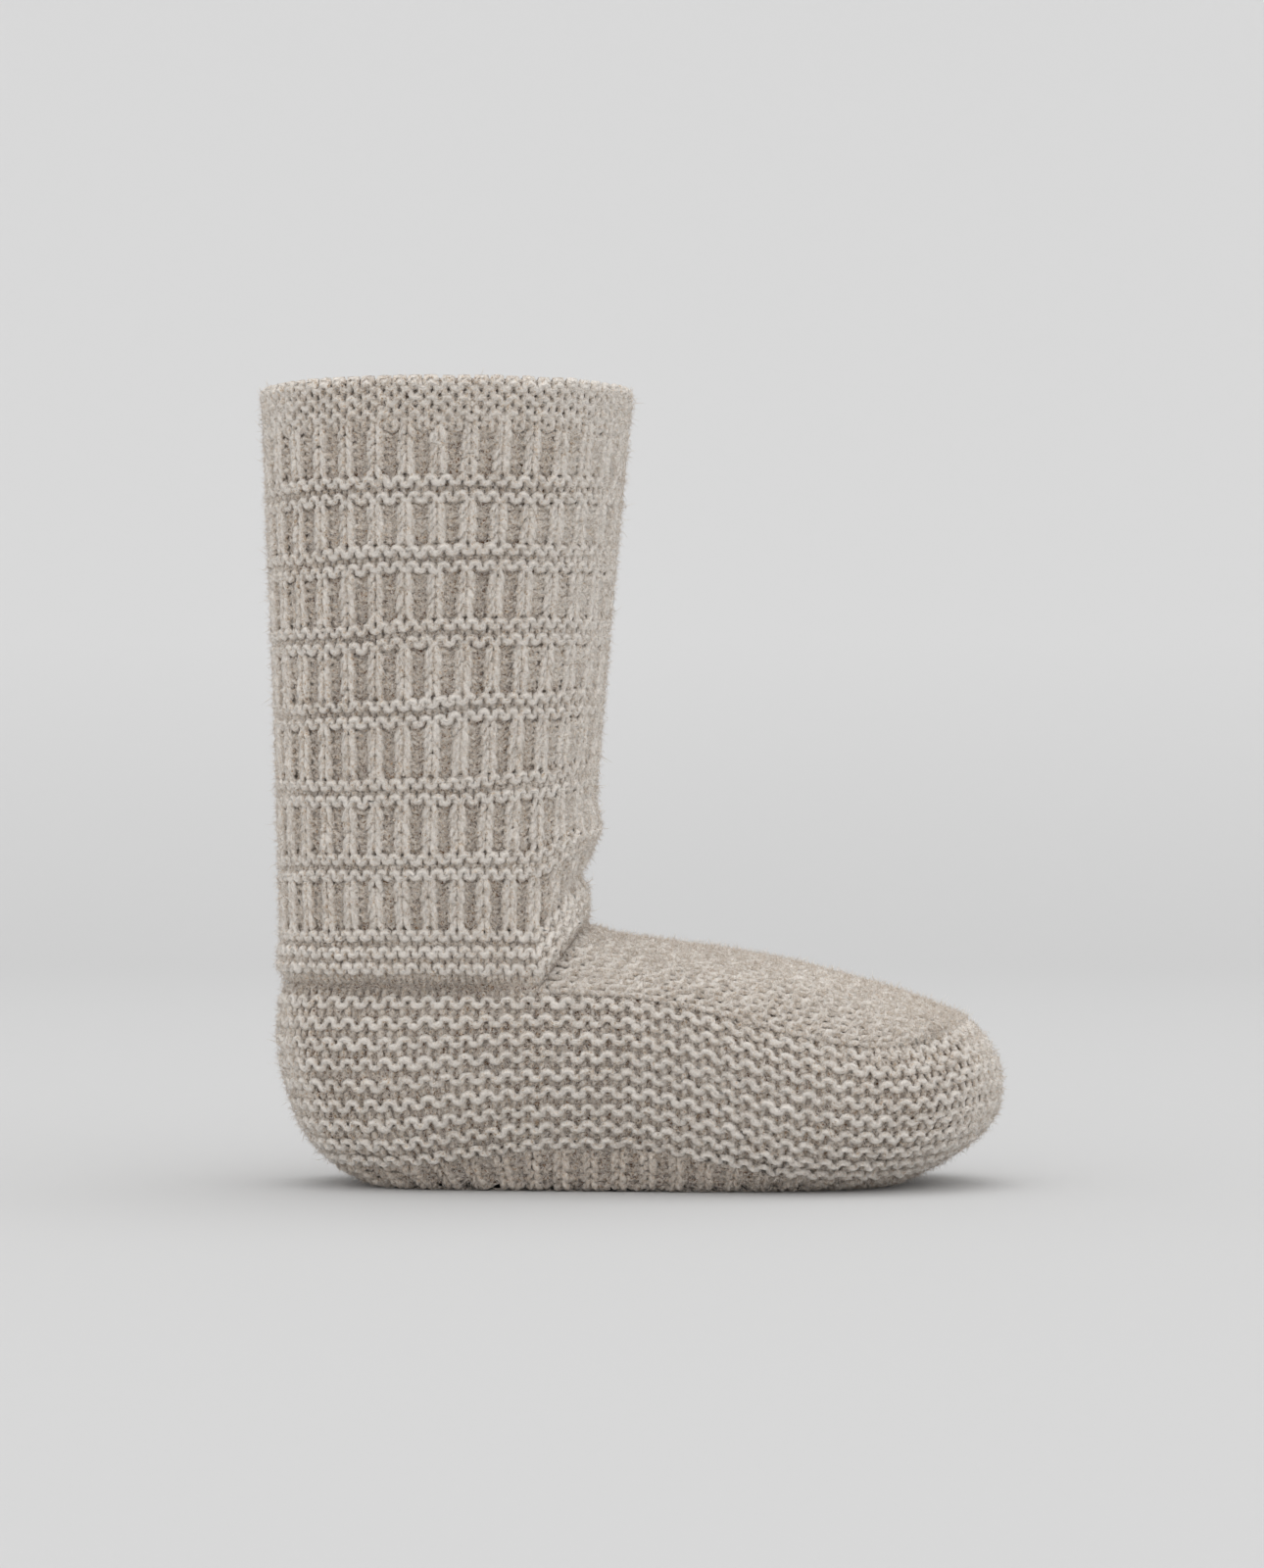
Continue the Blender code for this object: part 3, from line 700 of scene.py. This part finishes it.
def knit_leg(skin, material, rng):
    """The shaft's courses, in pieces of a size that keeps each mesh light."""
    rows = leg_courses()
    kinds = np.array([row[1] for row in rows])
    places = np.array([row[0] for row in rows])
    length = COLLAR_HEIGHT - TOP_LINE[0, 2] * ANKLE_HEIGHT
    ribbed, ridge, hollow = (kinds == kind for kind in "RPK")
    rise = np.where(ribbed, 0.95 * np.gradient(places), RIDGE_WAVE * 0.75 / length)
    rise[hollow] = 0.8 * BAND_STEP
    spread = np.where(ribbed, RIB_SPREAD, np.where(ridge, RIDGE_SPREAD, HOLLOW_SPREAD))
    forward = np.where(ridge, RIDGE_DEPTH, KNIT_DEPTH)
    ribs = np.tile([1.0, 0.0], LEG_STITCHES // 2)
    knit = np.where(ribbed[:, None], ribs, hollow[:, None] * np.ones(LEG_STITCHES))
    lift_knit = -YARN_RADIUS - np.where(ribbed, RIB_BACK, GARTER_BACK)
    lift_purl = -YARN_RADIUS + np.where(ribbed, -PURL_BACK, RIDGE_LIFT)
    collar = places < (2 * COLLAR_RIDGES + 1) * COLLAR_STEP
    lift_knit[collar] += COLLAR_BACK
    lift_purl[collar] -= COLLAR_SOFTER
    for k, cut in enumerate(np.array_split(np.arange(len(rows)), 3)):
        shape, lifts = (rise[cut], spread[cut], forward[cut]), (lift_knit[cut], lift_purl[cut])
        piece = loops(skin, LEG_STITCHES, places[cut], shape, knit[cut], lifts, rng, droop=DROOP)
        fill(f"shaft_yarn_{k + 1}", piece, material, "shaft")


def garter(skin, stitches, courses, first, length, back, rng, part=None):
    """Courses on a skin that start with a hollow and go ridge, hollow, ridge to the end."""
    places = np.linspace(first, 1 - first, courses)
    hollow = np.arange(courses) % 2 == 0
    knit = np.repeat(hollow[:, None].astype(float), stitches, axis=1)
    rise = np.where(hollow, 0.8 * (1 - 2 * first) / (courses - 1), RIDGE_WAVE / length)
    spread = np.where(hollow, HOLLOW_SPREAD, RIDGE_SPREAD)
    forward = np.where(hollow, KNIT_DEPTH, RIDGE_DEPTH)
    lift = -YARN_RADIUS + np.where(hollow, -back, RIDGE_LIFT)
    shape = rise, spread, forward
    return loops(skin, stitches, places, shape, knit, (lift, lift), rng, part)


def knit_foot(wall, panel, material, rng):
    """The foot's wall in garter rings, and the instep in garter rows from side to side."""
    courses = 2 * WALL_RIDGES + 1
    piece = garter(wall, FOOT_STITCHES, courses, 0.012, WALL_LENGTH, GARTER_BACK, rng)
    fill("upper_yarn", piece, material, "upper")
    whole = 0, INSTEP_STITCHES
    courses = INSTEP_COURSES
    piece = garter(panel, INSTEP_STITCHES, courses, 0.008, INSTEP_LENGTH, INSTEP_BACK, rng, whole)
    fill("instep_yarn", piece, material, "upper")


def knit_sole(edge, material, rng):
    """The sole in rib: rings up its side, and straight courses from heel to toe on its tread,
    each as long as the floor line leaves it."""
    places = np.array([0.04, 0.28, 0.52, 0.76])
    flags = np.tile([1.0, 0.0], (len(places), SOLE_STITCHES // 2))
    lift = np.full(len(places), -YARN_RADIUS)
    shape = [np.full(len(places), value) for value in (0.16, RIB_SPREAD, KNIT_DEPTH)]
    parts = [loops(edge, SOLE_STITCHES, places, shape, flags, (lift, lift - PURL_BACK), rng)]
    outline = guide(FLOOR_LINE, np.linspace(0, TOE_STATION, 400))
    widest = outline[:, 1].argmax()
    reach = outline[widest, 1]
    y, x = np.meshgrid(np.linspace(-1, 1, 9), np.array([0, 0.5, 1]), indexing="ij")
    grid = np.stack([x * FOOT_LENGTH, y * reach, 0 * x], -1)
    tread = Skin(grid, np.broadcast_to((0.0, 0.0, -1.0), grid.shape))
    lift = np.full(1, -YARN_RADIUS * 1.25)
    shape = [np.full(1, value) for value in (0.9 / TREAD_COURSES, 0.26, KNIT_DEPTH)]
    for y in np.linspace(-0.9, 0.9, TREAD_COURSES):
        heel = np.interp(abs(y) * reach, outline[: widest + 1, 1], outline[: widest + 1, 0])
        toe = np.interp(-abs(y) * reach, -outline[widest:, 1], outline[widest:, 0])
        first, last = math.ceil(heel / TREAD_STITCH), math.floor(toe / TREAD_STITCH)
        flags = ((np.arange(first, last) % 2 == 0) * 1.0)[None]
        place, part = np.full(1, (y + 1) / 2), (first, FOOT_LENGTH / TREAD_STITCH)
        lifts = lift, lift - PURL_BACK
        parts.append(loops(tread, last - first, place, shape, flags, lifts, rng, part))
    points, *rest = joined(parts)
    points[:, 2] = np.maximum(points[:, 2], 0.0001)  # none of the yarn goes under the floor
    fill("sole_yarn", (points, *rest), material, "sole")


def closed_shell(name, patches, polygons, height, material, replaced):
    """A closed body from half grids and half rings with their mirrors, welded along its edges."""
    points, corners, sizes, start = [], [], [], 0
    for grid in [*patches, *(patch * (1, -1, 1) for patch in patches)]:
        number = start + np.arange(grid[..., 0].size).reshape(grid.shape[:2])
        quads = np.stack([number[:-1, :-1], number[:-1, 1:], number[1:, 1:], number[1:, :-1]], -1)
        points.append(grid.reshape(-1, 3))
        corners.append(quads.ravel())
        sizes.append(np.full(quads.size // 4, 4))
        start += number.size
    for ring in [*polygons, *(ring * (1, -1, 1) for ring in polygons)]:
        points.append(ring)
        corners.append(start + np.arange(len(ring)))
        sizes.append(np.array([len(ring)]))
        start += len(ring)
    points = np.concatenate(points) + (HEEL, 0, 0)
    values = {"height": np.full(len(points), height)}
    piece = points, np.concatenate(corners), np.concatenate(sizes), values
    obj = fill(name, piece, material, replaced)
    body = bmesh.new()
    body.from_mesh(obj.data)
    bmesh.ops.remove_doubles(body, verts=body.verts, dist=MERGE)
    bmesh.ops.recalc_face_normals(body, faces=body.faces)
    body.to_mesh(obj.data)
    body.free()


def felted_bodies(grids, normals, material, sole_material):
    """The matted inside of the knitting, which closes the gaps between loops: thin shells between
    2.9 mm and the knitting's thickness below the outer form. The sole's is filled down to the
    tread's yarn."""
    def thinned(grid):
        return grid[:: 2 if len(grid) > 40 else 1, ::2]

    def skins(grid, normal):
        return grid - normal * FELT_NEAR, grid - normal * KNIT_THICKNESS

    leg, wall, panel, edge = (thinned(grid) for grid in grids)
    leg_n, wall_n, panel_n, edge_n = (thinned(normal) for normal in normals)
    # The felt's low height values pick the dark end of its wool's colours: painted shade of the gaps
    # between the loops.
    out, inside = skins(leg, leg_n)
    rims = [np.stack([out[row], inside[row]]) for row in (0, -1)]
    closed_shell("shaft_felt", [out, inside, *rims], [], 0.12, material, "shaft")
    out, inside = skins(wall, wall_n)
    top, under = skins(panel, panel_n)
    back = slice(0, 37)  # the wall's columns behind the instep
    rims = [
        np.stack([out[0, back], inside[0, back]]),
        np.stack([top[0], under[0]]),
        np.stack([out[-1], inside[-1]]),
    ]
    patches = [out, inside, top, under, *rims]
    closed_shell("upper_felt", patches, [], 0.1, material, "upper")
    out = edge - edge_n * FELT_NEAR
    bed = edge[-1] - unit(edge[0] - edge[-1]) * (1, 1, 0) * SOLE_THICKNESS / 2
    bed[:, 2] = SOLE_THICKNESS
    lip = edge[0] - edge_n[0] * KNIT_THICKNESS
    floor = out[-1].copy()
    floor[:, 2] = FELT_NEAR
    out[-1] = floor
    patches = [out, np.stack([out[0], lip, bed])]
    closed_shell("sole_felt", patches, [floor, bed], 0.1, sole_material, "sole")


def hairs(skins, count, long, rng):
    """Loose fibres: thin spikes of three sides. Each starts on the yarn and leaves along the
    normal plus a random slant. Long ones bend half way by as much again. They are drawn 0.2 mm
    wide, several times a real fibre, so that few of them stand for the many."""
    starts, ways, outs = [], [], []
    for skin, share, lift in skins:
        many = int(count * share)
        point, normal = skin.at(rng.random(many), rng.random(many))
        starts.append(point + normal * (lift - 0.0006 * rng.random((many, 1))))
        outs.append(normal)
        slant = rng.normal(0, 1, (many, 3))
        ways.append(slant - normal * (slant * normal).sum(-1, keepdims=True))
    start, way, out = np.concatenate(starts), np.concatenate(ways), np.concatenate(outs)
    many = len(start)
    (least, more), power, upright = (LONG_HAIR, 2, 0.40) if long else (SHORT_HAIR, 1, 0.45)
    length = least + more * rng.random((many, 1)) ** power
    first = unit(out * upright + way * 0.75)
    second = unit(first + 0.9 * unit(rng.normal(0, 1, (many, 3))))
    side = unit(np.cross(first, rng.normal(0, 1, (many, 3))))
    lean = unit(np.cross(first, side))
    corner = np.stack([side, -0.5 * side + 0.87 * lean, -0.5 * side - 0.87 * lean], 1)
    rows = [start[:, None] + HAIR_RADIUS * corner]
    if long:
        middle = start + first * length * 0.5
        end = middle + second * length * 0.5
        rows += [middle[:, None] + HAIR_RADIUS * 0.8 * corner, end[:, None]]
    else:
        rows += [(start + first * length)[:, None]]
    points = np.concatenate(rows, 1)
    tip = points.shape[1] - 1
    number = np.arange(many)[:, None] * (tip + 1)
    around = [(k, (k + 1) % 3) for k in range(3)]
    quads = [number + [[a, b, b + 3, a + 3]] for a, b in around if long]
    tips = [number + [[tip - 3 + a, tip - 3 + b, tip]] for a, b in around] + [number + [[2, 1, 0]]]
    faces = [(quad, 4) for quad in quads] + [(three, 3) for three in tips]
    points[..., 2] = np.maximum(points[..., 2], 0.0002)
    return (
        points.reshape(-1, 3),
        np.concatenate([face.ravel() for face, _ in faces]),
        np.concatenate([np.full(len(face), size) for face, size in faces]),
        {},
    )


def loose_fibre():
    """Loose mohair fibres: pale, thin and a little silky, so they catch light along the outline."""
    material = bpy.data.materials.new("loose_mohair")
    material.use_nodes = True
    tree = material.node_tree
    shader = tree.nodes["Principled BSDF"]
    place = node(tree, "ShaderNodeTexCoord").outputs["Object"]
    # Fibres 1 mm apart differ in shade
    patches = node(tree, "ShaderNodeTexNoise", {"Scale": 900.0}, Vector=place).outputs["Fac"]
    ramp = node(tree, "ShaderNodeValToRGB", _0=patches)
    ramp.color_ramp.elements[0].position = 0.35
    ramp.color_ramp.elements[0].color = from_hex("#cdbba6")
    ramp.color_ramp.elements[1].position = 0.65
    ramp.color_ramp.elements[1].color = from_hex("#fcf5ee")
    tree.links.new(ramp.outputs["Color"], shader.inputs["Base Color"])
    shader.inputs["Roughness"].default_value = 0.8
    shader.inputs["Specular IOR Level"].default_value = 0.3
    shader.inputs["Sheen Weight"].default_value = 0.3
    return material


def camera():
    """Level, square to the slipper's side, 1.4 m away."""
    data = bpy.data.cameras.new("camera")
    data.sensor_width = 36
    data.lens = LENS
    data.clip_end = 20
    obj = bpy.data.objects.new("camera", data)
    obj.location = Vector(CAMERA_PLACE) + Vector((HEEL, 0, 0))
    obj.rotation_euler = (math.pi / 2, 0, 0)
    bpy.context.scene.collection.objects.link(obj)
    bpy.context.scene.camera = obj


def backdrop_paper():
    """Matt grey paper. It is a little paler up the wall, where less light falls, so that floor and
    wall look the same."""
    paper = bpy.data.materials.new("backdrop_paper")
    paper.use_nodes = True
    tree = paper.node_tree
    shader = tree.nodes["Principled BSDF"]
    place = node(tree, "ShaderNodeTexCoord").outputs["Object"]
    up = node(tree, "ShaderNodeSeparateXYZ", Vector=place).outputs["Z"]
    ramp = node(tree, "ShaderNodeValToRGB", _0=up)
    ramp.color_ramp.elements[0].color = from_hex("#c9c9c9")
    ramp.color_ramp.elements[1].color = from_hex("#dddddd")
    ramp.color_ramp.elements.new(0.28).color = from_hex("#d6d6d6")
    tree.links.new(ramp.outputs["Color"], shader.inputs["Base Color"])
    shader.inputs["Roughness"].default_value = 1.0
    shader.inputs["Specular IOR Level"].default_value = 0.0
    return paper


def studio():
    """A pale paper sweep, flat and then up a quarter circle to a wall, under an even sky with one
    wide light overhead."""
    scene = bpy.context.scene
    scene.view_settings.view_transform = "Standard"
    turn = np.linspace(0, math.pi / 2, 24)
    y = np.concatenate([[-4.0], SWEEP_START + SWEEP_BEND * np.sin(turn), [SWEEP_START + SWEEP_BEND]])
    z = np.concatenate([[0.0], SWEEP_BEND - SWEEP_BEND * np.cos(turn), [5.0]])
    x = np.array([-5.0, 5.0])
    points = np.stack(np.broadcast_arrays(x[None], y[:, None], z[:, None]), -1).reshape(-1, 3)
    faces = 2 * np.arange(len(y) - 1)[:, None] + [0, 1, 3, 2]
    mesh = bpy.data.meshes.new("backdrop")
    mesh.from_pydata(points.tolist(), [], faces.tolist())
    mesh.shade_smooth()
    mesh.materials.append(backdrop_paper())
    sweep = bpy.data.objects.new("backdrop", mesh)
    scene.collection.objects.link(sweep)
    world = bpy.data.worlds.new("studio")
    world.use_nodes = True
    sky = world.node_tree.nodes["Background"]
    sky.inputs["Color"].default_value = (1, 1, 1, 1)
    sky.inputs["Strength"].default_value = 1.05
    scene.world = world
    light = bpy.data.lights.new("overhead", "SUN")
    light.angle = math.radians(40)
    light.energy = 0.6
    lamp = bpy.data.objects.new("overhead", light)
    lamp.rotation_euler = Vector((-0.05, -0.15, -1.0)).to_track_quat("-Z", "Y").to_euler()
    scene.collection.objects.link(lamp)


def main():
    camera()
    studio()
    rng = np.random.default_rng(7)
    grids, normals = forms()
    leg, wall, panel, edge = (
        Skin(both_sides(grid), both_sides(normal)) for grid, normal in zip(grids, normals)
    )
    # The hollow and top colours of each wool are painted shade and painted light. The felt and the
    # sole get darker colours still: painted shade of the gaps between loops and under the foot.
    body = wool("knitted_mohair", "#75543a", "#d8bfa2", "#fdf5ec", 1.0)
    felt = wool("matted_mohair", "#6f5037", "#b79a7d", "#e6d2bb", 0.7)
    tread = wool("rib_knit_sole", "#745842", "#b99f86", "#e2d0bd", 0.6)
    knit_leg(leg, body, rng)
    knit_foot(wall, panel, body, rng)
    knit_sole(edge, tread, rng)
    felted_bodies(grids, normals, felt, tread)
    fuzz = loose_fibre()
    foot = [(wall, 0.58, 0.0), (panel, 0.42, 0.0)]
    for name, skins, count, long, slot_name in (
        ("shaft_short_fuzz_1", [(leg, 1.0, 0.0)], SHORT_HAIRS * 0.26, False, "shaft_wool"),
        ("shaft_short_fuzz_2", [(leg, 1.0, -0.0008)], SHORT_HAIRS * 0.26, False, "shaft_wool"),
        ("shaft_long_fuzz", [(leg, 1.0, 0.0)], LONG_HAIRS * 0.52, True, "shaft_wool"),
        ("upper_short_fuzz", foot, SHORT_HAIRS * 0.42, False, "upper_wool"),
        ("upper_long_fuzz", foot, LONG_HAIRS * 0.48, True, "upper_wool"),
        ("sole_short_fuzz", [(edge, 1.0, 0.0)], SHORT_HAIRS * 0.06, False, "sole_wool"),
    ):
        fill(name, hairs(skins, count, long, rng), fuzz)


main()
